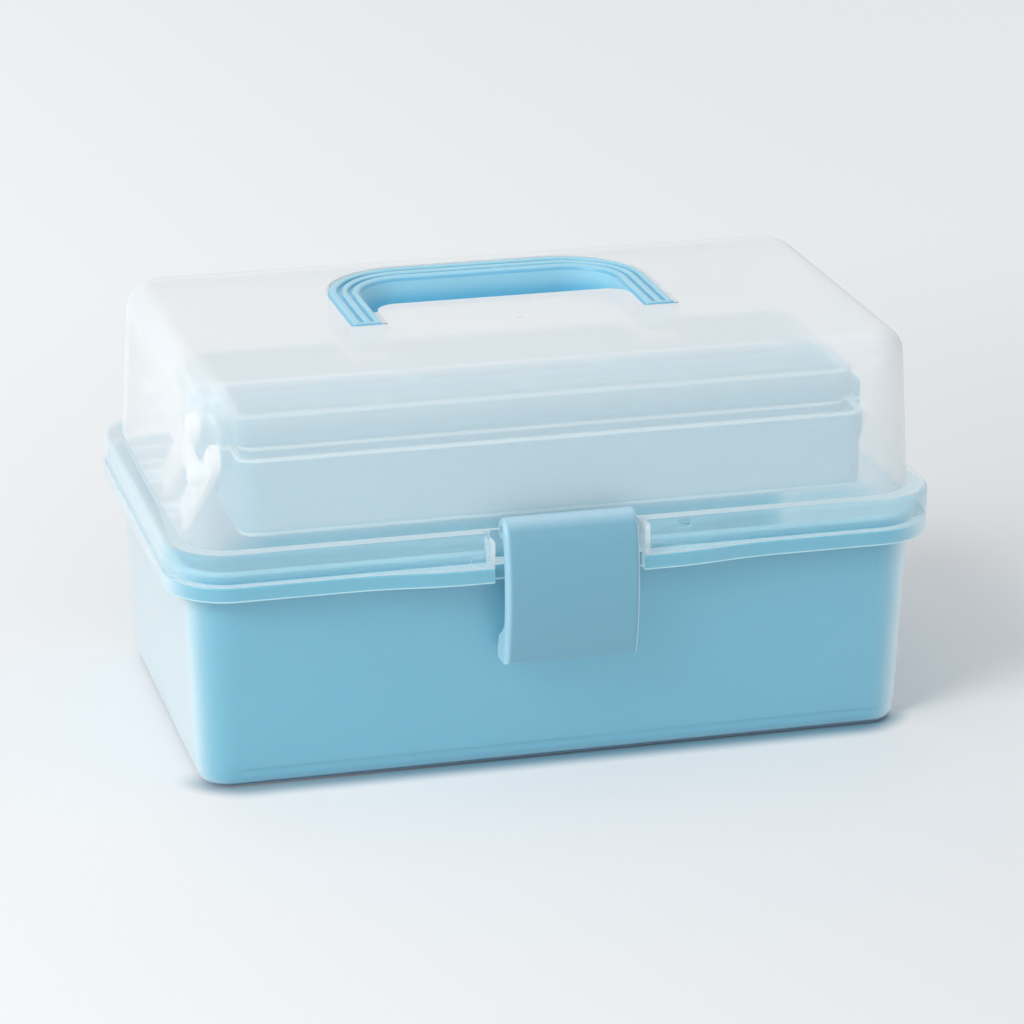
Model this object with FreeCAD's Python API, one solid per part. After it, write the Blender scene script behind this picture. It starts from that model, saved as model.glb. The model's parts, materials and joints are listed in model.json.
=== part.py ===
import FreeCAD, Part
import math
import os

# Millimetres. X runs along the box, the front faces -Y, Z is up.
# The origin lies on the floor, under the middle of the tub.

# Tub
tub_floor_length = 306.0
tub_floor_depth = 174.0
tub_height = 93.5
tub_spread = 4.0
tub_wall = 2.2
tub_floor = 2.4
tub_corner = 14.0
tub_inner_round = 4.0
foot_height = 9.0
foot_inset = 0.5
foot_round = 6.0

# Rim of the tub, which the lid rests on
rim_overhang = 8.0
rim_height = 6.5
rim_wall = 2.2
rim_corner = 27.0
rim_edge_round = 0.8
lip_height = 4.8
lip_wall = 1.8
lip_gap = 2.7

# Forward swell of the rim and skirt beside the latch
brow_reach = 4.0
brow_start = 92.0
brow_end = 40.0

# Lid
lid_wall = 2.0
skirt_height = 13.5
ledge_width = 8.0
ledge_round = 2.4
skirt_edge_round = 0.6
skirt_end_round = 3.0
dome_height = 68.0
dome_lean = 4.0
dome_corner = 22.0
dome_round = 11.0
gate_mark_radius = 1.1
gate_mark_depth = 0.3
gate_mark_place = -21.0
stop_offset = 38.5
stop_width = 5.5
stop_height = 4.0
stop_depth = 2.6
seal_slot_length = 6.0
seal_slot_width = 2.6
seal_slot_offset = 49.0
seal_slot_inset = 0.5

# Handle and its recess in the lid
handle_length = 142.6
handle_back = 68.7
handle_front = -14.5
handle_corner = 38.0
handle_leg_width = 13.6
handle_bar_width = 18.2
handle_inner_corner = 22.0
handle_height = 14.2
handle_proud = 0.5
handle_pivot_back = 6.0
handle_pivot_drop = 4.0
handle_groove_first = 4.9
handle_groove_second = 9.4
handle_groove_width = 1.9
handle_groove_depth = 1.8
handle_groove_stop = 1.6
handle_groove_round = 0.6
handle_outer_round = 2.6
handle_inner_round = 2.2
handle_skin = 2.4
handle_pin_radius = 1.8
recess_gap = 0.9
recess_front_gap = 2.0
recess_floor_gap = 1.3
recess_wall = 1.8
recess_inner_gap = 1.5
island_back = 12.5
island_corner = 10.0

# Latch
latch_width = 57.4
latch_drop = 42.0
latch_plate = 3.0
latch_bow_radius = 112.0
latch_bow_drop = 13.2
latch_edge_round = 2.2
latch_roll_radius = 5.0
latch_roll_wall = 2.3
latch_roll_start = 68.0
latch_shoulder_radius = 14.0
latch_shoulder_top = 132.0
latch_neck_top = 200.0
latch_neck_drop = 9.0
latch_cheek = 2.2
latch_cheek_inset = 0.2
latch_pin_radius = 1.5
latch_pivot_gap = 0.3
latch_pivot_rise = 1.8
latch_lip_depth = 11.2
latch_lip_height = 10.0
latch_lip_slope = 7.0
latch_lip_blend = 8.0
latch_lip_round = 3.0
latch_hook_width = 46.0
latch_hook_height = 7.5
latch_hook_gap = 0.4
latch_slot_gap = 3.3
latch_lug_width = 8.0
latch_lug_offset = 13.0
latch_lug_slope = 49.0
latch_lug_foot = 12.0
nose_reach = 7.0
nose_wall = 1.9
gap_wall = 1.8
gap_ledge = 2.2

# Rear hinges
hinge_offset = 84.0
hinge_knuckle_radius = 3.5
hinge_knuckle_length = 8.0
hinge_pin_radius = 1.5
hinge_gap = 0.4
hinge_rise = 1.7
hinge_root_gap = 0.2

# Trays
lower_side_gap = 22.5
lower_front_gap = 7.0
lower_back = 62.0
lower_rise = 15.0
lower_height = 33.5
lower_band = 11.5
lower_split = -8.0
lower_front_count = 3
lower_back_count = 2
upper_side_step = 0.5
upper_setback = 14.0
upper_back = 25.0
upper_rise = 25.5
upper_headroom = 2.2
upper_band = 12.0
upper_split = -24.0
upper_front_count = 4
upper_back_count = 3
tray_wall = 1.8
tray_band_step = 1.0
tray_corner = 8.0
tray_edge_round = 0.5
tray_divider = 1.5
tray_boss_radius = 5.4
lower_divider_drop = 12.5
upper_divider_drop = 5.0
nest_gap = 1.0

# Swing arms, links and rivets
arm_pivot_back = 66.0
arm_pivot_spacing = 46.0
arm_pivot_drop = 9.0
arm_lean = 57.0
arm_to_lower = 54.0
arm_to_link = 74.0
arm_to_upper = 94.0
arm_thickness = 3.0
arm_radius = 6.0
arm_rib_depth = 0.7
arm_rib_edge = 1.8
link_thickness = 2.8
link_radius = 5.5
side_gap = 0.4
arm_to_tray_side = 3.5
ear_to_tray_side = 0.8
rivet_radius = 2.4
rivet_head_radius = 4.5
rivet_head = 1.5
rivet_chamfer = 0.5
rivet_head_gap = 0.3
rivet_grip = 5.0
rivet_tub_grip = 9.0
running_fit = 0.05

# How far shapes that are joined run into one another, and how far a cut runs past its edge
merge = 1.0
overcut = 40.0

# Worked out from the sizes above
floor_half = (tub_floor_length / 2, tub_floor_depth / 2)
top_half = (floor_half[0] + tub_spread, floor_half[1] + tub_spread)
rim_half = (top_half[0] + rim_overhang, top_half[1] + rim_overhang)
rim_bottom = tub_height - rim_height
ledge_top = tub_height + skirt_height
lid_top = ledge_top + dome_height
dome_half = (rim_half[0] - ledge_width, rim_half[1] - ledge_width)
lip_inset = lid_wall + lip_gap
slot_half = latch_width / 2 + latch_slot_gap
gap_face = -(dome_half[1] + gap_ledge)
latch_pivot = (gap_face - latch_roll_radius - latch_pivot_gap, ledge_top + latch_pivot_rise)
hinge_axis = (rim_half[1] + hinge_knuckle_radius + hinge_gap, tub_height + hinge_rise)
nose_face = -(top_half[1] + nose_reach)
latch_bottom = tub_height - latch_drop
latch_bow_height = tub_height - latch_bow_drop
island_half = handle_length / 2 - handle_leg_width - recess_inner_gap
recess_bottom = lid_top + handle_proud - handle_height - recess_floor_gap
lower_length = 2 * (dome_half[0] - lower_side_gap)
lower_front = lower_front_gap - dome_half[1]
lower_bottom = tub_height + lower_rise
upper_length = lower_length - 2 * upper_side_step
upper_front = lower_front + upper_setback
upper_bottom = lower_bottom + upper_rise
upper_height = recess_bottom - recess_wall - upper_headroom - upper_bottom
arm_pivot_height = tub_height - arm_pivot_drop


def vec(x, y, z):
    return FreeCAD.Vector(x, y, z)


def block(x0, x1, y0, y1, z0, z1):
    return Part.makeBox(x1 - x0, y1 - y0, z1 - z0, vec(x0, y0, z0))


def rod(x0, x1, centre, radius):
    return Part.makeCylinder(radius, x1 - x0, vec(x0, centre[0], centre[1]), vec(1, 0, 0))


def mirrored(shape):
    return shape.mirror(vec(0, 0, 0), vec(1, 0, 0))


def both_ends(shape):
    return shape.fuse(mirrored(shape))


def arc(start, middle, end):
    return Part.Arc(start, middle, end).toShape()


def line(start, end):
    return Part.LineSegment(start, end).toShape()


def swell(start_x, end_x, y, reach, z):
    # Two equal arcs that carry a front edge smoothly out by reach.
    run = (end_x - start_x) / 2
    radius = (4 * run * run + reach * reach) / (4 * reach)
    side = 1 if run > 0 else -1
    half = math.asin(abs(run) / radius) / 2
    dx = side * radius * math.sin(half)
    dy = radius * (1 - math.cos(half))
    first = vec(start_x, y, z)
    middle = vec(start_x + run, y - reach / 2, z)
    last = vec(end_x, y - reach, z)
    return [arc(first, vec(start_x + dx, y - dy, z), middle),
            arc(middle, vec(end_x - dx, y - reach + dy, z), last)]


def outline(half, radius, z, brow=0.0, shift=0.0):
    # A rounded rectangle; with a brow its front edge swells forward beside the latch.
    hx, hy = half
    diagonal = radius * (1 - math.sqrt(0.5))
    front = shift - hy
    back = shift + hy
    if brow:
        edges = [line(vec(radius - hx, front, z), vec(-brow_start, front, z))]
        edges += swell(-brow_start, -brow_end, front, brow, z)
        edges.append(line(vec(-brow_end, front - brow, z), vec(brow_end, front - brow, z)))
        edges += [e for e in reversed(swell(brow_start, brow_end, front, brow, z))]
        edges.append(line(vec(brow_start, front, z), vec(hx - radius, front, z)))
    else:
        edges = [line(vec(radius - hx, front, z), vec(hx - radius, front, z))]
    edges.append(arc(vec(hx - radius, front, z), vec(hx - diagonal, front + diagonal, z),
                     vec(hx, front + radius, z)))
    edges.append(line(vec(hx, front + radius, z), vec(hx, back - radius, z)))
    edges.append(arc(vec(hx, back - radius, z), vec(hx - diagonal, back - diagonal, z),
                     vec(hx - radius, back, z)))
    edges.append(line(vec(hx - radius, back, z), vec(radius - hx, back, z)))
    edges.append(arc(vec(radius - hx, back, z), vec(diagonal - hx, back - diagonal, z),
                     vec(-hx, back - radius, z)))
    edges.append(line(vec(-hx, back - radius, z), vec(-hx, front + radius, z)))
    edges.append(arc(vec(-hx, front + radius, z), vec(diagonal - hx, front + diagonal, z),
                     vec(radius - hx, front, z)))
    return Part.Wire(Part.__sortEdges__(edges))


def inset(half, amount):
    return (half[0] - amount, half[1] - amount)


def prism(wire, height):
    return Part.Face(wire).extrude(vec(0, 0, height))


def wedge(low, high, z0, z1, span):
    # A prism along Y, from half width low at z0 to half width high at z1.
    corners = [vec(-low, -span, z0), vec(low, -span, z0), vec(high, -span, z1),
               vec(-high, -span, z1)]
    return Part.Face(Part.makePolygon(corners + corners[:1])).extrude(vec(0, 2 * span, 0))


def tapered(half, radius, z0, lean, z1):
    # A box with upright rounded corners whose sides lean in by lean on the way up.
    reach = (half[0] - radius, half[1] - radius)
    body = wedge(half[0], half[0] - lean, z0, z1, reach[1])
    cross = wedge(half[1], half[1] - lean, z0, z1, reach[0])
    body = body.fuse(cross.rotate(vec(0, 0, 0), vec(0, 0, 1), 90))
    for x in (-reach[0], reach[0]):
        for y in (-reach[1], reach[1]):
            body = body.fuse(Part.makeCone(radius, radius - lean, z1 - z0, vec(x, y, z0)))
    return body.removeSplitter()


def edges_at(shape, z, tolerance=0.01):
    return [e for e in shape.Edges
            if abs(e.BoundBox.ZMin - z) < tolerance and abs(e.BoundBox.ZMax - z) < tolerance]


def section(points, x0, x1):
    # A straight-sided shape drawn in the YZ plane and carried along X.
    corners = [vec(x0, y, z) for y, z in points]
    return Part.Face(Part.makePolygon(corners + corners[:1])).extrude(vec(x1 - x0, 0, 0))


def strap(x0, x1, a, b, radius):
    # A bar with round ends between two pivots, lying in the YZ plane.
    length = math.hypot(b[0] - a[0], b[1] - a[1])
    u = ((b[0] - a[0]) / length, (b[1] - a[1]) / length)
    n = (-u[1], u[0])

    def at(p, along, across):
        return vec(x0, p[0] + radius * (along * u[0] + across * n[0]),
                   p[1] + radius * (along * u[1] + across * n[1]))
    wire = Part.Wire([line(at(a, 0, 1), at(b, 0, 1)),
                      arc(at(b, 0, 1), at(b, 1, 0), at(b, 0, -1)),
                      line(at(b, 0, -1), at(a, 0, -1)),
                      arc(at(a, 0, -1), at(a, -1, 0), at(a, 0, 1))])
    return Part.Face(wire).extrude(vec(x1 - x0, 0, 0))


def clean(shape):
    return shape.removeSplitter()


# Tub

def tub_half_at(z):
    return inset(floor_half, -tub_spread * z / rim_bottom)


def rim_outline(amount, z):
    return outline(inset(rim_half, amount), rim_corner - amount, z, brow_reach)


def make_base_tub():
    slope = tub_spread / rim_bottom
    foot_radius = tub_corner - foot_inset
    foot = tapered(inset(floor_half, foot_inset), foot_radius, 0, -slope * foot_height,
                   foot_height)
    foot = foot.makeFillet(foot_round, edges_at(foot, 0))
    body = tapered(tub_half_at(foot_height), tub_corner + slope * foot_height, foot_height,
                   -slope * (tub_height - foot_height), tub_height)
    body = body.fuse(foot)
    rim = prism(rim_outline(0, rim_bottom), rim_height)
    rim = rim.makeFillet(rim_edge_round, edges_at(rim, rim_bottom))
    rim = rim.makeFillet(skirt_edge_round, edges_at(rim, tub_height))
    under = prism(rim_outline(rim_wall, rim_bottom), rim_height - rim_wall)
    slot = block(-slot_half, slot_half, -rim_half[1] - overcut, nose_face,
                 rim_bottom - overcut, tub_height + overcut)
    slot = slot.fuse(block(-slot_half, slot_half, -rim_half[1] - overcut, -top_half[1],
                           rim_bottom - overcut, tub_height - rim_wall))
    cheeks = rim.common(both_ends(block(slot_half, slot_half + rim_wall, -rim_half[1] - overcut,
                                        -top_half[1] + merge, rim_bottom, tub_height)))
    nose = block(-slot_half, slot_half, nose_face, nose_face + nose_wall,
                 rim_bottom, tub_height)
    body = body.fuse(rim.cut(under).cut(slot).fuse(cheeks).fuse(nose))
    lip_half = inset(rim_half, lip_inset)
    lip = prism(outline(lip_half, rim_corner - lip_inset, tub_height), lip_height)
    lip = lip.cut(prism(outline(inset(lip_half, lip_wall), rim_corner - lip_inset - lip_wall,
                                tub_height), lip_height))
    lip_cut = slot_half + gap_wall + hinge_gap
    lip = lip.cut(block(-lip_cut, lip_cut, -rim_half[1], 0, tub_height, tub_height + lip_height))
    body = body.fuse(lip)
    inner = tapered(inset(tub_half_at(tub_floor), tub_wall), tub_corner - tub_wall, tub_floor,
                    -slope * (tub_height - tub_floor), tub_height)
    inner = inner.makeFillet(tub_inner_round, edges_at(inner, tub_floor))
    body = body.cut(inner)
    for centre in arm_feet():
        boss = rod(tub_boss_x, top_half[0] - tub_wall / 2, centre, arm_radius)
        body = body.fuse(both_ends(boss))
    for centre in arm_feet():
        bore = rod(tub_boss_x - merge, tub_bore_x, centre, rivet_radius + running_fit)
        body = body.cut(both_ends(bore))
    for x0, x1 in knuckle_spans(outer=True):
        root = block(x0, x1, rim_half[1] - rim_wall / 2, hinge_axis[0] + merge,
                     rim_bottom + merge, tub_height - hinge_root_gap)
        knuckle = root.fuse(rod(x0, x1, hinge_axis, hinge_knuckle_radius))
        body = body.fuse(both_ends(knuckle))
    bore = rod(hinge_offset - overcut, hinge_offset + overcut, hinge_axis,
               hinge_pin_radius + running_fit)
    return clean(body.cut(both_ends(bore)))


# Hinges

def knuckle_spans(outer):
    # Two knuckles of the tub stand either side of one knuckle of the lid.
    half = hinge_knuckle_length / 2
    if not outer:
        return [(hinge_offset - half, hinge_offset + half)]
    near = half + hinge_gap
    return [(hinge_offset - near - hinge_knuckle_length, hinge_offset - near),
            (hinge_offset + near, hinge_offset + near + hinge_knuckle_length)]


def make_hinge_pin():
    spans = knuckle_spans(outer=True)
    return rod(spans[0][0], spans[1][1], hinge_axis, hinge_pin_radius)


# Lid

def skirt_solid():
    skirt = prism(rim_outline(0, tub_height), skirt_height)
    skirt = skirt.makeFillet(ledge_round, edges_at(skirt, ledge_top))
    return skirt.makeFillet(skirt_edge_round, edges_at(skirt, tub_height))


def make_lid_shell():
    shell = skirt_solid()
    dome_bottom = ledge_top - lid_wall
    dome = tapered(dome_half, dome_corner, dome_bottom, dome_lean, lid_top)
    dome = dome.makeFillet(dome_round, edges_at(dome, lid_top))
    room = tapered(inset(dome_half, lid_wall), dome_corner - lid_wall, dome_bottom,
                   dome_lean, lid_top - lid_wall)
    room = room.makeFillet(dome_round - lid_wall, edges_at(room, lid_top - lid_wall))
    room = room.cut(recess_solid(recess_wall))
    under = prism(rim_outline(lid_wall, tub_height), skirt_height - lid_wall)
    shell = shell.fuse(dome).cut(recess_solid(0)).cut(room).cut(under)
    # The latch stands in a gap of the skirt, closed behind by a plain wall.
    ends_of_skirt = skirt_solid().common(both_ends(
        block(slot_half, slot_half + gap_wall, -rim_half[1] - overcut, gap_face + gap_wall,
              tub_height, ledge_top)))
    gap = block(-slot_half, slot_half, -rim_half[1] - overcut, gap_face,
                tub_height - merge, ledge_top + merge)
    back_of_gap = block(-slot_half - gap_wall, slot_half + gap_wall, gap_face,
                        gap_face + gap_wall, tub_height + side_gap, ledge_top - lid_wall / 2)
    shell = shell.cut(gap).fuse(ends_of_skirt).fuse(back_of_gap)
    shell = shell.cut(both_ends(skirt_end_corner()))
    shell = shell.fuse(both_ends(skirt_stop(stop_offset, stop_width, stop_height)))
    shell = shell.fuse(skirt_stop(seal_slot_offset, seal_slot_length, stop_height / 2))
    shell = shell.fuse(both_ends(latch_lug()))
    shell = shell.cut(rod(-slot_half, slot_half, latch_pivot, latch_pin_radius + running_fit))
    slot_front = seal_slot_inset - rim_half[1] - brow_reach
    slot = block(seal_slot_offset - seal_slot_length / 2, seal_slot_offset + seal_slot_length / 2,
                 slot_front, slot_front + seal_slot_width,
                 ledge_top - lid_wall - merge, ledge_top + merge)
    shell = shell.cut(slot)
    shell = shell.cut(Part.makeCylinder(gate_mark_radius, gate_mark_depth + merge,
                                        vec(0, gate_mark_place, lid_top - gate_mark_depth)))
    # Bosses inside the end walls carry the links.
    boss = rod(lid_boss_x, dome_half[0] - dome_lean / 2 - lid_wall / 2, link_lid_end, link_radius)
    shell = shell.fuse(both_ends(boss))
    shell = shell.cut(both_ends(rod(lid_boss_x - merge, lid_boss_x + rivet_grip, link_lid_end,
                                    rivet_radius + running_fit)))
    for x0, x1 in knuckle_spans(outer=False):
        root = block(x0, x1, rim_half[1] - lid_wall / 2, hinge_axis[0] + merge,
                     hinge_axis[1] + hinge_knuckle_radius / 2, ledge_top - ledge_round - lid_wall)
        shell = shell.fuse(both_ends(root.fuse(rod(x0, x1, hinge_axis, hinge_knuckle_radius))))
    bore = rod(hinge_offset - overcut, hinge_offset + overcut, hinge_axis,
               hinge_pin_radius + running_fit)
    shell = shell.cut(both_ends(bore))
    shell = shell.cut(both_ends(handle_pin(recess_wall + merge, running_fit)))
    return clean(shell)


def skirt_end_corner():
    # What is taken off the top corner of the skirt beside the latch to leave it round.
    r = skirt_end_round
    front = -rim_half[1] - overcut
    corner = block(slot_half - merge, slot_half + r, front, gap_face,
                   ledge_top - r, ledge_top + merge)
    keep = Part.makeCylinder(r, 2 * overcut, vec(slot_half + r, front, ledge_top - r),
                             vec(0, 1, 0))
    return corner.cut(keep)


def skirt_stop(offset, width, height):
    # A small rib inside the foot of the skirt, which keeps the rim in line.
    face = -(rim_half[1] + brow_reach - lid_wall)
    return block(offset - width / 2, offset + width / 2, face - lid_wall / 2,
                 face + stop_depth, tub_height + side_gap, tub_height + side_gap + height)


def latch_lug():
    # A ring round the latch pin, stayed back to the wall of the gap.
    x0 = latch_lug_offset - latch_lug_width / 2
    x1 = latch_lug_offset + latch_lug_width / 2
    y, z = latch_pivot
    ring = rod(x0, x1, latch_pivot, latch_lug_radius)
    slope = math.radians(latch_lug_slope)
    wall = gap_face + gap_wall / 2
    stay = section([(y, z - latch_lug_radius),
                    (y + latch_lug_radius * math.cos(slope), z - latch_lug_radius * math.sin(slope)),
                    (wall, z - (wall - y) * math.tan(slope)), (wall, z - latch_lug_foot)], x0, x1)
    return ring.fuse(stay)


# Handle

def u_area(half_length, back, corner, front, z):
    # The area inside one of the handle's concentric U lines.
    diagonal = corner * (1 - math.sqrt(0.5))
    h = half_length
    edges = [line(vec(-h, front, z), vec(h, front, z)),
             line(vec(h, front, z), vec(h, back - corner, z)),
             arc(vec(h, back - corner, z), vec(h - diagonal, back - diagonal, z),
                 vec(h - corner, back, z)),
             line(vec(h - corner, back, z), vec(corner - h, back, z)),
             arc(vec(corner - h, back, z), vec(diagonal - h, back - diagonal, z),
                 vec(-h, back - corner, z)),
             line(vec(-h, back - corner, z), vec(-h, front, z))]
    return Part.Wire(edges)


def handle_line(share, front, z):
    # share 0 is the outer edge of the U, 1 its inner edge.
    return u_area(handle_length / 2 - share * handle_leg_width,
                  handle_back - share * handle_bar_width,
                  handle_corner + share * (handle_inner_corner - handle_corner), front, z)


def handle_band(share0, share1, front, z0, z1):
    outer = prism(handle_line(share0, front, z0), z1 - z0)
    return outer.cut(prism(handle_line(share1, front - merge, z0 - merge), z1 - z0 + 2 * merge))


def recess_solid(grow):
    # The hollow round the handle, or with grow the same hollow and its walls.
    top = lid_top + overcut
    bottom = recess_bottom - grow
    room = prism(u_area(handle_length / 2 + recess_gap + grow, handle_back + recess_gap + grow,
                        handle_corner + recess_gap + grow,
                        handle_front - recess_front_gap - grow, bottom), top - bottom)
    island = prism(u_area(island_half - grow, island_back - grow, island_corner - grow,
                          handle_front - recess_front_gap - overcut, bottom - merge),
                   top - bottom + 2 * merge)
    return room.cut(island)


def handle_pin(extra, clearance):
    x0 = island_half - extra
    x1 = handle_length / 2 + recess_gap + extra
    return rod(x0, x1, handle_pivot, handle_pin_radius + clearance)


def make_handle():
    top = lid_top + handle_proud
    bottom = top - handle_height
    body = handle_band(0, 1, handle_front, bottom, top)
    for middle in (handle_groove_first, handle_groove_second):
        groove = handle_band((middle - handle_groove_width / 2) / handle_leg_width,
                             (middle + handle_groove_width / 2) / handle_leg_width,
                             handle_front + handle_groove_stop, top - handle_groove_depth,
                             top + merge)
        body = body.cut(groove)
    hollow = handle_band(handle_skin / handle_leg_width, 1 - handle_skin / handle_leg_width,
                         handle_pivot[0] + 2 * handle_pivot_back, bottom - merge,
                         top - handle_groove_depth - handle_skin)
    body = body.cut(hollow)
    # The free corner under each leg's end is rounded, so that it turns clear of the recess.
    toe = handle_pivot_back
    cutter = block(-handle_length, handle_length, handle_front - merge, handle_front + toe,
                   bottom - merge, bottom + toe)
    keep = rod(-handle_length, handle_length, (handle_front + toe, bottom + toe), toe)
    body = body.cut(cutter.cut(keep))
    outer = handle_length / 2
    inner = outer - handle_leg_width
    for reach, radius in ((outer, handle_outer_round), (inner, handle_inner_round)):
        leg = [e for e in edges_at(body, top) if abs(e.CenterOfMass.x - reach) < 0.01
               and e.BoundBox.XLength < 0.01]
        body = body.makeFillet(radius, leg)
    grooves = [e for e in edges_at(body, top) if e.Length > handle_corner / 2
               and abs(e.CenterOfMass.y - handle_front) > 0.01]
    body = body.makeFillet(handle_groove_round, grooves)
    body = body.cut(both_ends(handle_pin(recess_wall + merge, running_fit)))
    return clean(body)


# Latch

def latch_bow(thickness, z):
    # Y of the bowed plate at height z, at a depth of thickness behind its face.
    radius = latch_bow_radius - thickness
    return bow_centre[0] - math.sqrt(radius ** 2 - (z - bow_centre[1]) ** 2)


def polar(centre, radius, degrees, x):
    angle = math.radians(degrees)
    return vec(x, centre[0] + radius * math.cos(angle), centre[1] + radius * math.sin(angle))


def latch_profile(x):
    # The side view of the latch: a bowed plate whose shoulder curls over the pin, and a lip.
    pivot = latch_pivot
    hollow = latch_roll_radius - latch_roll_wall
    start = latch_roll_start
    top = latch_shoulder_top
    low_touch = math.degrees(math.atan2(shoulder_centre[1] - bow_centre[1],
                                        shoulder_centre[0] - bow_centre[0]))
    shoulder_foot = polar(shoulder_centre, latch_shoulder_radius, low_touch, x)
    roll_foot = polar(pivot, latch_roll_radius, top, x)
    neck = polar(pivot, hollow, latch_neck_top, x)
    neck_foot = pivot[1] - latch_neck_drop
    low = latch_bottom
    lip_top = low + latch_lip_height
    above = lip_top + latch_lip_slope

    def bow(thickness, height):
        return vec(x, latch_bow(thickness, height), height)
    edges = [arc(bow(0, low), bow(0, (low + shoulder_foot.z) / 2), shoulder_foot),
             arc(shoulder_foot, polar(shoulder_centre, latch_shoulder_radius,
                                      (low_touch + top) / 2, x), roll_foot),
             arc(roll_foot, polar(pivot, latch_roll_radius, (top + start) / 2, x),
                 polar(pivot, latch_roll_radius, start, x)),
             line(polar(pivot, latch_roll_radius, start, x), polar(pivot, hollow, start, x)),
             arc(polar(pivot, hollow, start, x),
                 polar(pivot, hollow, (start + latch_neck_top) / 2, x), neck),
             line(neck, bow(latch_plate, neck_foot)),
             arc(bow(latch_plate, neck_foot), bow(latch_plate, (neck_foot + above) / 2),
                 bow(latch_plate, above)),
             line(bow(latch_plate, above), bow(latch_lip_depth, lip_top)),
             line(bow(latch_lip_depth, lip_top), bow(latch_lip_depth, low)),
             line(bow(latch_lip_depth, low), bow(0, low))]
    return Part.Wire(edges)


def cross_edges(shape, y, z, tolerance=0.01):
    # The edges along X at one place of the side view.
    return [e for e in shape.Edges if abs(e.CenterOfMass.y - y) < tolerance
            and abs(e.CenterOfMass.z - z) < tolerance and e.BoundBox.XLength > 1]


def make_latch():
    half = latch_width / 2
    body = Part.Face(latch_profile(-half)).extrude(vec(latch_width, 0, 0))
    lip_top = latch_bottom + latch_lip_height
    above = lip_top + latch_lip_slope
    for radius, depth, height in ((latch_lip_blend, latch_plate, above),
                                  (latch_lip_round, latch_lip_depth, lip_top),
                                  (latch_lip_round, latch_lip_depth, latch_bottom)):
        body = body.makeFillet(radius, cross_edges(body, latch_bow(depth, height), height))
    low_front = latch_bow(0, latch_bottom)
    round_edges = cross_edges(body, low_front, latch_bottom)
    for edge in body.Edges:
        middle = edge.CenterOfMass
        if (abs(abs(middle.x) - half) < 0.01 and edge.Length > latch_width / 2
                and middle.y < low_front):
            round_edges.append(edge)
    body = body.makeFillet(latch_edge_round, round_edges)
    cheek = half - latch_cheek_inset
    disc = rod(cheek - latch_cheek, cheek, latch_pivot, latch_roll_radius - latch_roll_wall / 2)
    body = body.fuse(both_ends(disc))
    hook_top = rim_bottom - latch_hook_gap
    hook_low = hook_top - latch_hook_height
    hook_back = nose_face - latch_hook_gap
    sunk = latch_plate / 2
    hook = section([(latch_bow(sunk, hook_top), hook_top), (hook_back, hook_top),
                    (hook_back, hook_top - nose_wall), (latch_bow(sunk, hook_low), hook_low)],
                   -latch_hook_width / 2, latch_hook_width / 2)
    body = clean(body.fuse(hook))
    return body.cut(rod(-half, half, latch_pivot, latch_pin_radius + running_fit))


def make_latch_pin():
    half = latch_width / 2 - side_gap
    return rod(-half, half, latch_pivot, latch_pin_radius)


# Trays

def make_tray(length, front, back, bottom, height, band, divider_drop, rows):
    # rows holds (y from, y to, compartments); a divider stands between rows and compartments.
    shift = (front + back) / 2
    half = (length / 2, (back - front) / 2)
    top = bottom + height
    low_half = inset(half, tray_band_step)
    body = prism(outline(low_half, tray_corner - tray_band_step, bottom, 0, shift), height)
    body = body.makeFillet(tray_wall, edges_at(body, bottom))
    rim = prism(outline(half, tray_corner, top - band, 0, shift), band)
    rim = rim.makeFillet(tray_edge_round, edges_at(rim, top))
    body = body.fuse(rim.makeFillet(tray_edge_round, edges_at(rim, top - band)))
    inner_half = inset(low_half, tray_wall)
    inner = prism(outline(inner_half, tray_corner - tray_band_step - tray_wall,
                          bottom + tray_wall, 0, shift), height)
    body = body.cut(inner)
    walls = []
    floor = bottom + tray_wall / 2
    sunk = tray_divider / 3
    reach = inner_half[0] + sunk
    for index, (y0, y1, count) in enumerate(rows):
        if index:
            walls.append(block(-reach, reach, y0 - tray_divider / 2,
                               y0 + tray_divider / 2, floor, top - divider_drop))
        for k in range(1, count):
            x = inner_half[0] * (2 * k / count - 1)
            walls.append(block(x - tray_divider / 2, x + tray_divider / 2, y0 - sunk, y1 + sunk,
                               floor, top - divider_drop))
    for wall in walls:
        body = body.fuse(wall)
    return body


def make_lower_tray():
    edge = tray_band_step + tray_wall
    rows = [(lower_front + edge, lower_split, lower_front_count),
            (lower_split, lower_back - edge, lower_back_count)]
    body = make_tray(lower_length, lower_front, lower_back, lower_bottom, lower_height,
                     lower_band, lower_divider_drop, rows)
    for centre in arm_points(arm_to_lower):
        boss = rod(lower_length / 2 - tray_band_step - tray_wall / 2, arm_inner_x - side_gap,
                   centre, tray_boss_radius)
        body = body.fuse(both_ends(boss))
    for centre in arm_points(arm_to_lower):
        body = body.cut(both_ends(rod(lower_bore_x, arm_inner_x + merge, centre,
                                      rivet_radius + running_fit)))
    return clean(body)


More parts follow.
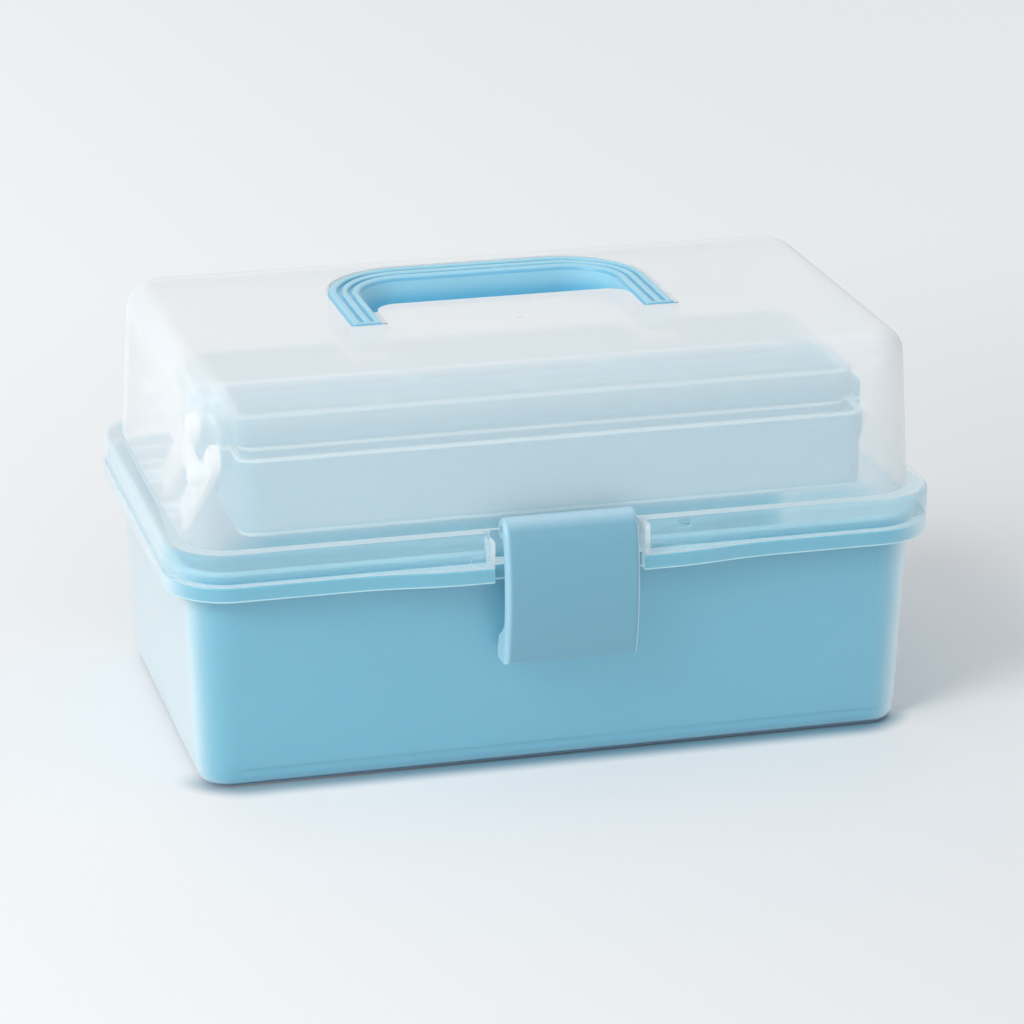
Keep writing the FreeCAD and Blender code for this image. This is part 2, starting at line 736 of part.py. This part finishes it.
def make_upper_tray():
    edge = tray_band_step + tray_wall
    low_length = lower_length - 2 * (edge + nest_gap)
    rows = [(upper_front + edge, upper_split, upper_front_count),
            (upper_split, upper_back - edge, upper_back_count)]
    body = make_tray(low_length + 2 * tray_band_step, upper_front, upper_back, upper_bottom,
                     upper_height, upper_band, upper_divider_drop, rows)
    band_bottom = upper_bottom + upper_height - upper_band
    shift = (upper_front + upper_back) / 2
    half = (upper_length / 2, (upper_back - upper_front) / 2)
    band = prism(outline(half, tray_corner, band_bottom, 0, shift), upper_band)
    band = band.makeFillet(tray_edge_round, edges_at(band, band_bottom + upper_band))
    band = band.makeFillet(tray_edge_round, edges_at(band, band_bottom))
    inner_half = (low_length / 2 - tray_wall, half[1] - tray_band_step - tray_wall)
    band = band.cut(prism(outline(inner_half, tray_corner - tray_band_step - tray_wall,
                                  band_bottom, 0, shift), upper_band))
    body = body.fuse(band)
    for centre in arm_points(arm_to_upper):
        root = block(upper_length / 2 - merge, arm_inner_x - side_gap, centre[0] - arm_radius,
                     centre[0] + arm_radius, band_bottom, band_bottom + arm_radius)
        ear = strap(upper_ear_x, arm_inner_x - side_gap, centre,
                    (centre[0], band_bottom + arm_radius / 2), arm_radius)
        ear = ear.common(block(upper_ear_x, arm_inner_x, centre[0] - arm_radius,
                               centre[0] + arm_radius, centre[1] - arm_radius,
                               band_bottom + arm_radius))
        body = body.fuse(both_ends(root.fuse(ear)))
    for centre in arm_points(arm_to_upper):
        body = body.cut(both_ends(rod(upper_ear_x - merge, arm_inner_x + merge, centre,
                                      rivet_radius + running_fit)))
    return clean(body)


# Arms, links and rivets

def arm_feet():
    return [(arm_pivot_back, arm_pivot_height),
            (arm_pivot_back - arm_pivot_spacing, arm_pivot_height)]


def arm_points(distance):
    lean = math.radians(arm_lean)
    return [(y - distance * math.sin(lean), z + distance * math.cos(lean))
            for y, z in arm_feet()]


def make_arm(index, with_link):
    foot = arm_feet()[index]
    tip = arm_points(arm_to_upper)[index]
    body = strap(arm_inner_x, arm_outer_x, foot, tip, arm_radius)
    points = [foot, arm_points(arm_to_lower)[index], tip]
    # A shallow channel on each face leaves a rib round the edge and an eye at each pivot.
    channel = strap(arm_inner_x - merge, arm_inner_x + arm_rib_depth, foot, tip,
                    arm_radius - arm_rib_edge)
    channel = channel.fuse(strap(arm_outer_x - arm_rib_depth, arm_outer_x + merge, foot, tip,
                                 arm_radius - arm_rib_edge))
    if with_link:
        points.append(arm_points(arm_to_link)[index])
    for point in points:
        channel = channel.cut(rod(arm_inner_x - 2 * merge, arm_outer_x + 2 * merge, point,
                                  rivet_head_radius + side_gap))
    body = body.cut(channel)
    if with_link:
        body = body.fuse(rod(arm_outer_x - merge, link_inner_x - side_gap / 2,
                             arm_points(arm_to_link)[index], rivet_head_radius))
    for point in points:
        body = body.cut(rod(arm_inner_x - merge, link_inner_x + merge, point,
                            rivet_radius + running_fit))
    return clean(body)


def make_link():
    start = link_arm_end
    body = strap(link_inner_x, link_outer_x, start, link_lid_end, link_radius)
    for point in (start, link_lid_end):
        body = body.cut(rod(link_inner_x - merge, link_outer_x + merge, point,
                            rivet_radius + running_fit))
    return clean(body)


def rivet(head_x, direction, end_x, centre):
    # The head starts at head_x and the shank runs on to end_x.
    head_end = head_x + direction * rivet_head
    head = rod(min(head_x, head_end), max(head_x, head_end), centre, rivet_head_radius)
    rim_edges = [e for e in head.Edges if abs(e.CenterOfMass.x - head_x) < 0.01
                 and e.BoundBox.XLength < 0.01]
    head = head.makeChamfer(rivet_chamfer, rim_edges)
    shank = rod(min(head_x + direction * rivet_head / 2, end_x),
                max(head_x + direction * rivet_head / 2, end_x), centre, rivet_radius)
    return clean(head.fuse(shank))


def rivet_set(head_x, direction, end_x, centres):
    solids = []
    for centre in centres:
        one = rivet(head_x, direction, end_x, centre)
        solids += [one, mirrored(one)]
    return Part.makeCompound(solids)


# Where things lie across the width, from the trays out to the walls
arm_inner_x = lower_length / 2 + arm_to_tray_side
arm_outer_x = arm_inner_x + arm_thickness
link_inner_x = arm_outer_x + rivet_head_gap + rivet_head + side_gap
link_outer_x = link_inner_x + link_thickness
lid_boss_x = link_outer_x + rivet_head_gap
tub_boss_x = arm_outer_x + rivet_head_gap
tub_bore_x = tub_boss_x + rivet_tub_grip
lower_bore_x = lower_length / 2 - tray_band_step - tray_wall / 2
upper_ear_x = lower_length / 2 + ear_to_tray_side
latch_lug_radius = latch_roll_radius - latch_roll_wall - side_gap
link_arm_end = arm_points(arm_to_link)[1]
link_lid_end = (hinge_axis[0] + link_arm_end[0] - arm_feet()[1][0],
                hinge_axis[1] + link_arm_end[1] - arm_feet()[1][1])
handle_pivot = (handle_front + handle_pivot_back, lid_top - handle_pivot_drop)
shoulder_reach = latch_shoulder_radius - latch_roll_radius
shoulder_turn = math.radians(latch_shoulder_top)
shoulder_centre = (latch_pivot[0] - shoulder_reach * math.cos(shoulder_turn),
                   latch_pivot[1] - shoulder_reach * math.sin(shoulder_turn))
bow_run = math.sqrt((latch_bow_radius - latch_shoulder_radius) ** 2
                    - (shoulder_centre[1] - latch_bow_height) ** 2)
bow_centre = (shoulder_centre[0] + bow_run, latch_bow_height)

front_arm = make_arm(1, True)
rear_arm = make_arm(0, False)
link = make_link()
hinge_pin = make_hinge_pin()
one_handle_pin = handle_pin(recess_wall - side_gap, 0)

nodes = {
    "base_tub": make_base_tub(),
    "lid_shell": make_lid_shell(),
    "carry_handle": make_handle(),
    "latch": make_latch(),
    "latch_pin": make_latch_pin(),
    "lower_tray": make_lower_tray(),
    "upper_tray": make_upper_tray(),
    "front_arm_right": front_arm,
    "front_arm_left": mirrored(front_arm),
    "rear_arm_right": rear_arm,
    "rear_arm_left": mirrored(rear_arm),
    "lid_link_right": link,
    "lid_link_left": mirrored(link),
    "hinge_pin_right": hinge_pin,
    "hinge_pin_left": mirrored(hinge_pin),
    "handle_pin_right": one_handle_pin,
    "handle_pin_left": mirrored(one_handle_pin),
    "tub_rivets": rivet_set(arm_inner_x - rivet_head_gap - rivet_head, 1,
                            tub_bore_x - side_gap, arm_feet()),
    "lower_tray_rivets": rivet_set(arm_outer_x + rivet_head_gap + rivet_head, -1,
                                   lower_bore_x + side_gap, arm_points(arm_to_lower)),
    "upper_tray_rivets": rivet_set(arm_outer_x + rivet_head_gap + rivet_head, -1,
                                   upper_ear_x, arm_points(arm_to_upper)),
    "arm_link_rivets": rivet_set(link_outer_x + rivet_head_gap + rivet_head, -1,
                                 arm_inner_x, [link_arm_end]),
    "lid_link_rivets": rivet_set(link_inner_x - rivet_head_gap - rivet_head, 1,
                                 lid_boss_x + rivet_grip - side_gap, [link_lid_end]),
}

os.makedirs("parts", exist_ok=True)
for name, shape in nodes.items():
    shape.exportStep("parts/%s.step" % name)
    box = shape.BoundBox
    print("%-18s solids %d valid %s volume %.1f  x %.1f..%.1f y %.1f..%.1f z %.1f..%.1f" % (
        name, len(shape.Solids), shape.isValid(), shape.Volume,
        box.XMin, box.XMax, box.YMin, box.YMax, box.ZMin, box.ZMax))
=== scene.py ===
import json
import math

import bpy
from mathutils import Matrix, Vector

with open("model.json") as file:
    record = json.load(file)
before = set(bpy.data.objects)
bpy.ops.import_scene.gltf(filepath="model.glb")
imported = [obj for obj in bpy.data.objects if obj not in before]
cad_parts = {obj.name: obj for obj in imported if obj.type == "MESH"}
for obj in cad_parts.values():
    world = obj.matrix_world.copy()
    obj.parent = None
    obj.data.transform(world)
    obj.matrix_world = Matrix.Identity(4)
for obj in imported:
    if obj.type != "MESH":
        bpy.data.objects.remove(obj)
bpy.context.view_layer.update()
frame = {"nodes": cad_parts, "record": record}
nodes = frame["nodes"]
print("frame loaded:", len(nodes), "pieces")


# Shader building

class Socket:
    # wraps one output socket, so that maths on it adds Math nodes
    def __init__(self, tree, socket):
        self.tree = tree
        self.socket = socket

    def math(self, operation, *values):
        return self.tree.node("ShaderNodeMath", {"operation": operation}, *values)

    def __add__(self, other):
        return self.math("ADD", self, other)

    def __radd__(self, other):
        return self.math("ADD", other, self)

    def __sub__(self, other):
        return self.math("SUBTRACT", self, other)

    def __rsub__(self, other):
        return self.math("SUBTRACT", other, self)

    def __mul__(self, other):
        return self.math("MULTIPLY", self, other)

    def __rmul__(self, other):
        return self.math("MULTIPLY", other, self)

    def __pow__(self, other):
        return self.math("POWER", self, other)

    def __abs__(self):
        return self.math("ABSOLUTE", self)


class Finish:
    # one material and its nodes
    def __init__(self, name, **constants):
        self.material = bpy.data.materials.new(name)
        self.material.use_nodes = True
        self.nodes = self.material.node_tree.nodes
        self.links = self.material.node_tree.links
        self.nodes.clear()
        self.output = self.nodes.new("ShaderNodeOutputMaterial")
        self.surface = self.nodes.new("ShaderNodeBsdfPrincipled")
        self.links.new(self.surface.outputs[0], self.output.inputs["Surface"])
        for key, value in constants.items():
            self.surface.inputs[key.replace("_", " ")].default_value = value

    def node(self, kind, settings=None, *values, out=0, **named):
        made = self.nodes.new(kind)
        for key, value in (settings or {}).items():
            setattr(made, key, value)
        pairs = list(enumerate(values))
        pairs += [(key.replace("_", " "), value) for key, value in named.items()]
        for key, value in pairs:
            self.join(value, made.inputs[key])
        return Socket(self, made.outputs[out])

    def join(self, value, entry):
        # links a socket, or sets a constant
        if isinstance(value, Socket):
            self.links.new(value.socket, entry)
        else:
            entry.default_value = value

    def place(self):
        return self.node("ShaderNodeTexCoord", out="Object")

    def noise(self, scale, detail=2.0, rough=0.5, where=None):
        where = where or self.place()
        return self.node("ShaderNodeTexNoise", None, Vector=where, Scale=scale, Detail=detail,
                         Roughness=rough)

    def blend(self, factor, colourA, colourB):
        # a colour mix; sockets 6 and 7 are the colour inputs of the Mix node
        made = self.nodes.new("ShaderNodeMix")
        made.data_type = "RGBA"
        for index, value in ((0, factor), (6, colourA), (7, colourB)):
            self.join(value, made.inputs[index])
        return Socket(self, made.outputs[2])

    def split(self, vector, axis):
        return self.node("ShaderNodeSeparateXYZ", None, vector, out=axis)

    def ramp(self, value, start, end):
        # 0 before start, 1 after end, and smooth between
        return self.node("ShaderNodeMapRange", {"interpolation_type": "SMOOTHSTEP"}, Value=value,
                         From_Min=start, From_Max=end)

    def band(self, value, start, end, soft=0.0003):
        return self.ramp(value, start - soft, start) * self.ramp(value, end + soft, end)

    def beyond(self, place, halfX, halfY, corner):
        # distance outside a rectangle with rounded corners, negative inside
        reach = [abs(self.split(place, axis)) - (half - corner)
                 for axis, half in (("X", halfX), ("Y", halfY))]
        reach = [side.math("MAXIMUM", side, 0.0) for side in reach]
        return (reach[0] * reach[0] + reach[1] * reach[1]) ** 0.5 - corner

    def limit(self, value):
        return self.node("ShaderNodeClamp", None, Value=value)

    def lightRay(self):
        # 1 for the rays that carry light through a milky wall, 0 for what the eye sees
        rays = [self.node("ShaderNodeLightPath", out="Is %s Ray" % kind)
                for kind in ("Shadow", "Diffuse")]
        return self.limit(rays[0] + rays[1])

    def behind(self):
        # 1 where a ray leaves the solid, so that each wall counts once
        return self.node("ShaderNodeNewGeometry", out="Backfacing")

    def feed(self, **sockets):
        for key, value in sockets.items():
            self.links.new(value.socket, self.surface.inputs[key.replace("_", " ")])

    def bump(self, height, strength):
        return self.node("ShaderNodeBump", None, Strength=strength, Distance=grainHeight,
                         Height=height)


grainHeight = 0.0001  # the height of the fine grain on every plastic


def tone(red, green, blue):
    # an sRGB colour from 0 to 255, as Blender's linear colour
    def linear(value):
        value = value / 255
        return value / 12.92 if value <= 0.04045 else ((value + 0.055) / 1.055) ** 2.4
    return (linear(red), linear(green), linear(blue), 1.0)


# Plastics

mouldedPlastic = {
    "tub": {"colour": tone(108, 183, 205), "shade": tone(101, 178, 201), "roughness": 0.38,
            "grain": 0.12, "depth": 0.35, "sheen": 1.0, "coat": 1.0, "passed": 0.85,
            "paintedSheen": 0.72},
    "tray": {"colour": tone(106, 182, 203), "shade": tone(100, 178, 199), "roughness": 0.36,
             "grain": 0.12, "depth": 0.35, "sheen": 0.0, "coat": 0.0, "passed": 0.85},
    "handle": {"colour": tone(150, 209, 231), "shade": tone(144, 204, 227), "roughness": 0.32,
               "grain": 0.08, "depth": 0.3, "sheen": 0.3, "coat": 0.3, "passed": 0.85},
    "latch": {"colour": tone(120, 175, 196), "shade": tone(114, 171, 192), "roughness": 0.34,
              "grain": 0.06, "depth": 0.3, "sheen": 0.3, "coat": 0.2, "passed": 0.5},
    "arm": {"colour": tone(226, 234, 238), "shade": tone(220, 229, 234), "roughness": 0.36,
            "grain": 0.1, "depth": 0.3, "sheen": 0.0, "coat": 0.0, "passed": 0.85},
    "rivet": {"colour": tone(232, 238, 241), "shade": tone(225, 232, 236), "roughness": 0.34,
              "grain": 0.1, "depth": 0.2, "sheen": 0.0, "coat": 0.0, "passed": 0.85},
}
# Painted highlights and shade: bands painted paler as highlights on edges and rims, or deeper as
# shade in grooves, at the tub's foot and low on the handle's inner wall: axis, from, to, how soft
# the change is, colour
paintedLightBands = {
    # tub: painted highlight lines along two edges of the rim, and painted contact shade at the foot
    "tub": (("Z", 0.0868, 0.0876, 0.0004, tone(186, 226, 238)),
            ("Z", 0.0972, 0.0990, 0.0006, tone(150, 208, 226)),
            ("Z", -0.001, 0.0018, 0.0012, tone(0, 112, 150))),
    # tray: painted highlight lines along the trays' edges and rims
    "tray": (("Z", 0.1080, 0.1104, 0.0004, tone(186, 219, 230)),
             ("Z", 0.1412, 0.1424, 0.0003, tone(182, 215, 226)),
             ("Z", 0.1554, 0.1564, 0.0003, tone(160, 205, 220))),
    # handle: painted shade in the grooves, a painted highlight high on the inner wall and painted
    # shade lower down it
    "handle": (("Z", 0.1500, 0.1747, 0.0003, tone(112, 186, 218)),
               ("Z", 0.1500, 0.1735, 0.0002, tone(158, 217, 239)),
               ("Z", 0.1500, 0.1630, 0.0095, tone(86, 182, 220))),
    # latch: painted highlights on the top roll, at the bottom and along both side edges
    "latch": (("Z", 0.1148, 0.1160, 0.0065, tone(178, 212, 227)),
              ("Z", 0.0400, 0.0509, 0.0004, tone(184, 216, 230)),
              ("X", -0.0300, -0.0276, 0.0020, tone(158, 202, 222)),
              ("X", 0.0280, 0.0300, 0.0004, tone(180, 213, 228))),
}
gloss = {"IOR": 1.49, "Subsurface_Radius": (0.6, 1.0, 1.2), "Subsurface_Scale": 0.004,
         "Sheen_Roughness": 0.35, "Coat_Roughness": 0.42, "Coat_IOR": 1.7}
streaks = {"scale": 9.0, "detail": 3.0, "roughness": 0.08}
grain = {"scale": 900.0, "detail": 2.0, "rough": 0.6, "roughness": 0.05}
paintedSheen = (0.06, 0.74)  # painted sheen: the colour turns milky where a face is seen at a slant
paintedSheenColour = tone(228, 245, 252)
coatFoot = (0.0015, 0.0050)  # the coat's gloss ends above the floor
tubInside = {"halfX": 0.1519, "halfY": 0.0859, "spread": 0.0428, "floor": 0.0015,
             "soft": 0.0002, "floorSoft": 0.0005}


def moulded(name):
    look = mouldedPlastic[name]
    finish = Finish(name + "Plastic", Subsurface_Weight=look["depth"],
                    Sheen_Weight=look["sheen"], Coat_Weight=look["coat"], **gloss)
    # slow streaks from the way the plastic filled the mould
    flow = finish.noise(streaks["scale"], streaks["detail"])
    fine = finish.noise(grain["scale"], grain["detail"], grain["rough"])
    colour = finish.blend(flow, look["colour"], look["shade"])
    passed = look["passed"]
    if name == "tub":
        # only the inner side lets light pass, so the tub glows inside and keeps its shadow
        place = finish.place()
        z = finish.split(place, "Z")
        for half, axis in (("halfX", "X"), ("halfY", "Y")):
            reach = tubInside[half] + z * tubInside["spread"] - abs(finish.split(place, axis))
            passed = passed * finish.ramp(reach, -tubInside["soft"], tubInside["soft"])
        passed = passed * finish.ramp(z, tubInside["floor"],
                                      tubInside["floor"] + tubInside["floorSoft"])
    if "paintedSheen" in look:
        # painted sheen: the base colour is blended towards a milky white where the face turns away
        # from the eye
        facing = finish.node("ShaderNodeLayerWeight", None, Blend=0.5, out="Facing")
        colour = finish.blend(finish.ramp(facing, *paintedSheen) * look["paintedSheen"], colour, paintedSheenColour)
        foot = finish.ramp(finish.split(finish.place(), "Z"), *coatFoot)
        finish.feed(Coat_Weight=foot * look["coat"])
    # paint each plastic's highlight and shade bands over its colour
    for axis, start, end, soft, paintedColour in paintedLightBands.get(name, ()):
        paintedBand = finish.band(finish.split(finish.place(), axis), start, end, soft)
        colour = finish.blend(paintedBand, colour, paintedColour)
    finish.feed(Base_Color=colour,
                Roughness=(look["roughness"] + (flow - 0.5) * streaks["roughness"]
                           + (fine - 0.5) * grain["roughness"]),
                Alpha=1 - finish.lightRay() * finish.limit(passed + finish.behind()),
                Normal=finish.bump(fine, look["grain"]))
    return finish.material


frostedPlastic = {
    "colour": tone(240, 243, 244),
    "shade": tone(235, 239, 241),
    "skirtColour": tone(178, 218, 232),  # the clearer front takes the blue of the tub behind it
    "sideColour": tone(222, 236, 242),
    "lineColour": tone(208, 226, 233),
    "paintedEdgeShade": tone(232, 237, 240),
    "domeOpacity": 0.5,
    "topOpacity": 0.66,
    "skirtOpacity": 0.5,
    "footOpacity": 0.06,
    "lineOpacity": 0.46,  # more, where the eye looks along the wall instead of through it
    "slantOpacity": 0.34,  # more, where a face turns away from the eye
    "lightPassed": 0.98,  # the share of the opacity that lets light through
    "roughness": 0.42,
    "grainRoughness": 0.06,
    "grain": 0.08,
    "outline": (0.165, 0.099, 0.027),
    "outlineSoft": 0.0004,
    "ledge": (0.1064, 0.1068),
    "ledgeUpward": (0.93, 0.99),
    "ledgeEnd": (-0.0066, -0.0026),  # how far out the ledge is white, at the sides and in front
    "front": (0.066, 0.086),
    "narrowing": (0.020, 0.094),
    "ends": (0.150, 0.118),
    "recess": (0.158, 0.160, 0.100, 0.050),
    "recessSoft": 0.002,
    "recessUpward": (0.8, 0.4),
    "recessClear": 0.85,
    "skirtTop": (0.1160, 0.1085),
    "foot": (0.0934, 0.0942),
    "clear": (0.0945, 0.1010),
    "skirtEnd": (0.0320, 0.0340),
    "skirtFace": (-0.0925, -0.0935),
    "top": (0.150, 0.169),
    "bend": (0.155, 0.162),  # the rounded edge round the top
    "bendStart": (0.1, 0.5),
    "bendEnd": (0.98, 0.7),
    "lowEnd": (0.1066, 0.1072),
    "sideTop": (0.1080, 0.1070),
}


def frosted():
    look = frostedPlastic
    finish = Finish("frostedPlastic", IOR=1.49, Specular_IOR_Level=0.5)
    place = finish.place()
    x = abs(finish.split(place, "X"))
    y = finish.split(place, "Y")
    z = finish.split(place, "Z")
    upward = abs(finish.split(finish.node("ShaderNodeTexCoord", out="Normal"), "Z"))
    skirt = finish.ramp(z, *look["skirtTop"])
    frontal = finish.ramp(0 - y, *look["front"])
    side, front = look["ledgeEnd"]
    end = side + finish.ramp(0 - y, *look["narrowing"]) * (front - side)
    flat = (finish.ramp(z, *look["ledge"]) * finish.ramp(upward, *look["ledgeUpward"]) * skirt
            * finish.ramp(finish.beyond(place, *look["outline"]), end + look["outlineSoft"], end))
    skirtEnd = finish.band(x, *look["skirtEnd"]) * finish.ramp(y, *look["skirtFace"]) * skirt
    line = finish.limit(finish.band(z, *look["foot"]) + flat + skirtEnd)
    facing = finish.node("ShaderNodeLayerWeight", None, Blend=0.35, out="Facing")
    passed = finish.lightRay() * look["lightPassed"]
    skirtWall = look["footOpacity"] + (finish.ramp(z, *look["clear"])
                                       * (look["skirtOpacity"] - look["footOpacity"]))
    wall = (look["domeOpacity"] + skirt * (skirtWall - look["domeOpacity"])
            + finish.ramp(z, *look["top"]) * (look["topOpacity"] - look["domeOpacity"]))
    bottom, top, halfX, halfY = look["recess"]
    soft = look["recessSoft"]
    recess = (finish.ramp(z, bottom, top) * finish.ramp(x, halfX, halfX - soft)
              * finish.ramp(abs(y), halfY, halfY - soft)
              * finish.ramp(upward, *look["recessUpward"]))
    milkiness = wall + line * look["lineOpacity"] + facing * look["slantOpacity"]
    alpha = ((1 - recess * look["recessClear"]) * milkiness
             * (1 - passed) * (1 - finish.behind()))
    flow = finish.noise(7.0, 2.0)
    fine = finish.noise(700.0, 2.0, 0.6)
    milk = finish.blend(flow, look["colour"], look["shade"])
    # painted shade: the rounded edge round the top is coloured a little darker
    bend = (finish.ramp(upward, *look["bendStart"]) * finish.ramp(upward, *look["bendEnd"])
            * finish.ramp(z, *look["bend"]))
    milk = finish.blend(bend, milk, look["paintedEdgeShade"])
    low = finish.ramp(z, *look["lowEnd"])
    blue = skirt * frontal * (1 - low * finish.ramp(x, look["ends"][1], look["ends"][0]))
    milk = finish.blend(finish.ramp(z, *look["sideTop"]), milk, look["sideColour"])
    milk = finish.blend(blue, milk, look["skirtColour"])
    finish.feed(Base_Color=finish.blend(line, milk, look["lineColour"]),
                Roughness=look["roughness"] + (fine - 0.5) * look["grainRoughness"],
                Alpha=finish.limit(alpha),
                Normal=finish.bump(fine, look["grain"]))
    return finish.material


steel = {
    "colour": tone(196, 198, 201),
    "shade": tone(168, 171, 175),
    "stretch": (20.0, 900.0, 900.0),  # the lines that drawing leaves run along the wire
    "roughness": 0.28,
    "lineRoughness": 0.12,
}


def drawnSteel():
    finish = Finish("drawnSteel", Metallic=1.0)
    streak = finish.node("ShaderNodeMapping", None, Vector=finish.place(), Scale=steel["stretch"])
    lines = finish.noise(1.0, 3.0, 0.6, streak)
    finish.feed(Base_Color=finish.blend(lines, steel["colour"], steel["shade"]),
                Roughness=steel["roughness"] + lines * steel["lineRoughness"])
    return finish.material


finishes = {
    "tub_plastic": moulded("tub"),
    "tray_plastic": moulded("tray"),
    "handle_plastic": moulded("handle"),
    "latch_plastic": moulded("latch"),
    "arm_plastic": moulded("arm"),
    "rivet_plastic": moulded("rivet"),
    "lid_plastic": frosted(),
    "pin_steel": drawnSteel(),
}
slotOf = {part["node"]: part["material_slot"] for part in frame["record"]["subparts"]}
for name, piece in nodes.items():
    piece.data.materials.clear()
    piece.data.materials.append(finishes[slotOf[name]])
print("finishes made:", len(finishes))


# Camera, lights and floor

camera = {
    "azimuth": -14.718,
    "elevation": 19.281,
    "roll": 0.061,
    "distance": 1.767127,
    "lens": 4044.914 * 36 / 1024,
    "aim": (0.0, 0.0, 0.070),
    "slideRight": 0.002,
    "slideUp": 0.009985,
}


def addCamera():
    a = math.radians(camera["azimuth"])
    e = math.radians(camera["elevation"])
    r = math.radians(camera["roll"])
    back = Vector((math.sin(a) * math.cos(e), -math.cos(a) * math.cos(e), math.sin(e)))
    right = Vector((math.cos(a), math.sin(a), 0))
    up = back.cross(right)
    place = (Vector(camera["aim"]) + back * camera["distance"] + right * camera["slideRight"]
             + up * camera["slideUp"])
    right, up = (right * math.cos(r) + up * math.sin(r), up * math.cos(r) - right * math.sin(r))
    data = bpy.data.cameras.new("photoCamera")
    data.lens = camera["lens"]
    data.sensor_width = 36
    data.clip_start = 0.05
    data.clip_end = 50
    view = bpy.data.objects.new("photoCamera", data)
    turn = Matrix((right, up, back)).transposed().to_4x4()
    view.matrix_world = Matrix.Translation(place) @ turn
    bpy.context.scene.collection.objects.link(view)
    bpy.context.scene.camera = view


studio = {
    # the floor is painted lighter on the left and darker on the right, as painted light falling
    # from the left
    "floorLeft": tone(250, 251, 252),
    "floorRight": tone(233, 236, 239),
    "floorHalf": 6.0,
    "floorAcross": (-0.7, 0.6),
    "contact": tone(96, 150, 172),  # painted shadow: next to the tub's front foot, the floor's darker blue contact shadow and the blue light the tub throws
    "foot": (0.1519, 0.0859, 0.020),
    "contactReach": 0.013,
    "contactFront": (0.062, 0.084),
    "glowAcross": (-0.4, 0.0),
    "glowBack": (0.05, 0.7),
    "floorGlow": (0.5, 0.05, 0.85),  # left, right and far share of the floor seen as a backdrop
    "skyColour": (0.91, 0.92, 0.93, 1.0),
    "skyStrength": 0.53,
    "skySeen": 0.97,  # as gloss and the eye see it
    "milkyLayers": 32,  # how many milky faces one ray can cross
    "lamps": {  # place, aim, size, power
        "keyLeft": ((-2.0, -1.2, 1.9), (0.0, 0.0, 0.08), 1.4, 41.0),
        "topSoft": ((-0.2, 0.6, 2.4), (0.0, 0.0, 0.1), 2.0, 7.0),
        "frontFill": ((0.5, -2.6, 1.0), (0.0, 0.0, 0.1), 1.8, 3.5),
        "sideRight": ((2.4, -1.4, 1.3), (0.0, 0.0, 0.1), 2.0, 6.0),
        "sideLeft": ((-2.0, -0.9, 0.45), (0.0, 0.0, 0.06), 1.8, 5.0),
    },
}


def addLamp(name, place, aim, size, power):
    data = bpy.data.lights.new(name, "AREA")
    data.shape = "DISK"
    data.size = size
    data.energy = power
    lamp = bpy.data.objects.new(name, data)
    lamp.location = place
    lamp.rotation_euler = (Vector(aim) - Vector(place)).to_track_quat("-Z", "Y").to_euler()
    bpy.context.scene.collection.objects.link(lamp)


def addFloor():
    mesh = bpy.data.meshes.new("floor")
    half = studio["floorHalf"]
    mesh.from_pydata([(-half, -half, 0), (half, -half, 0), (half, half, 0), (-half, half, 0)],
                     [], [(0, 1, 2, 3)])
    floor = bpy.data.objects.new("floor", mesh)
    bpy.context.scene.collection.objects.link(floor)
    finish = Finish("floorPaper", Roughness=0.75)
    x, y = (finish.split(finish.place(), axis) for axis in ("X", "Y"))
    paintedFalloff = finish.ramp(x, *studio["floorAcross"])
    paper = finish.blend(paintedFalloff, studio["floorLeft"], studio["floorRight"])
    # painted shadow: the floor darkens to blue along the tub's front foot
    paintedContactShade = (finish.ramp(finish.beyond(finish.place(), *studio["foot"]), studio["contactReach"], 0.0)
            * finish.ramp(0 - y, *studio["contactFront"]))
    finish.feed(Base_Color=finish.blend(paintedContactShade, paper, studio["contact"]))
    seen = finish.node("ShaderNodeEmission", None, paper)
    left, right, far = studio["floorGlow"]
    front = left + finish.ramp(x, *studio["glowAcross"]) * (right - left)
    glow = front + finish.ramp(y, *studio["glowBack"]) * (far - front)
    eye = finish.node("ShaderNodeLightPath", out="Is Camera Ray") * glow
    both = finish.node("ShaderNodeMixShader", None, eye, Socket(finish, finish.surface.outputs[0]),
                       seen)
    finish.links.new(both.socket, finish.output.inputs["Surface"])
    mesh.materials.append(finish.material)


def addWorld():
    world = bpy.data.worlds.new("studio")
    bpy.context.scene.world = world
    world.use_nodes = True
    tree = world.node_tree
    tree.nodes.clear()
    output = tree.nodes.new("ShaderNodeOutputWorld")
    sky = tree.nodes.new("ShaderNodeBackground")
    seen = tree.nodes.new("ShaderNodeBackground")
    sky.inputs["Color"].default_value = studio["skyColour"]
    sky.inputs["Strength"].default_value = studio["skyStrength"]
    seen.inputs["Color"].default_value = studio["skyColour"]
    seen.inputs["Strength"].default_value = studio["skySeen"]
    path = tree.nodes.new("ShaderNodeLightPath")
    either = tree.nodes.new("ShaderNodeMath")
    either.operation = "MAXIMUM"
    tree.links.new(path.outputs["Is Camera Ray"], either.inputs[0])
    tree.links.new(path.outputs["Is Glossy Ray"], either.inputs[1])
    mix = tree.nodes.new("ShaderNodeMixShader")
    tree.links.new(either.outputs[0], mix.inputs[0])
    tree.links.new(sky.outputs[0], mix.inputs[1])
    tree.links.new(seen.outputs[0], mix.inputs[2])
    tree.links.new(mix.outputs[0], output.inputs["Surface"])


addCamera()
addFloor()
addWorld()
for name, values in studio["lamps"].items():
    addLamp(name, *values)
bpy.context.scene.cycles.transparent_max_bounces = studio["milkyLayers"]
bpy.context.scene.view_settings.view_transform = "Standard"
print("camera, floor and lamps placed")
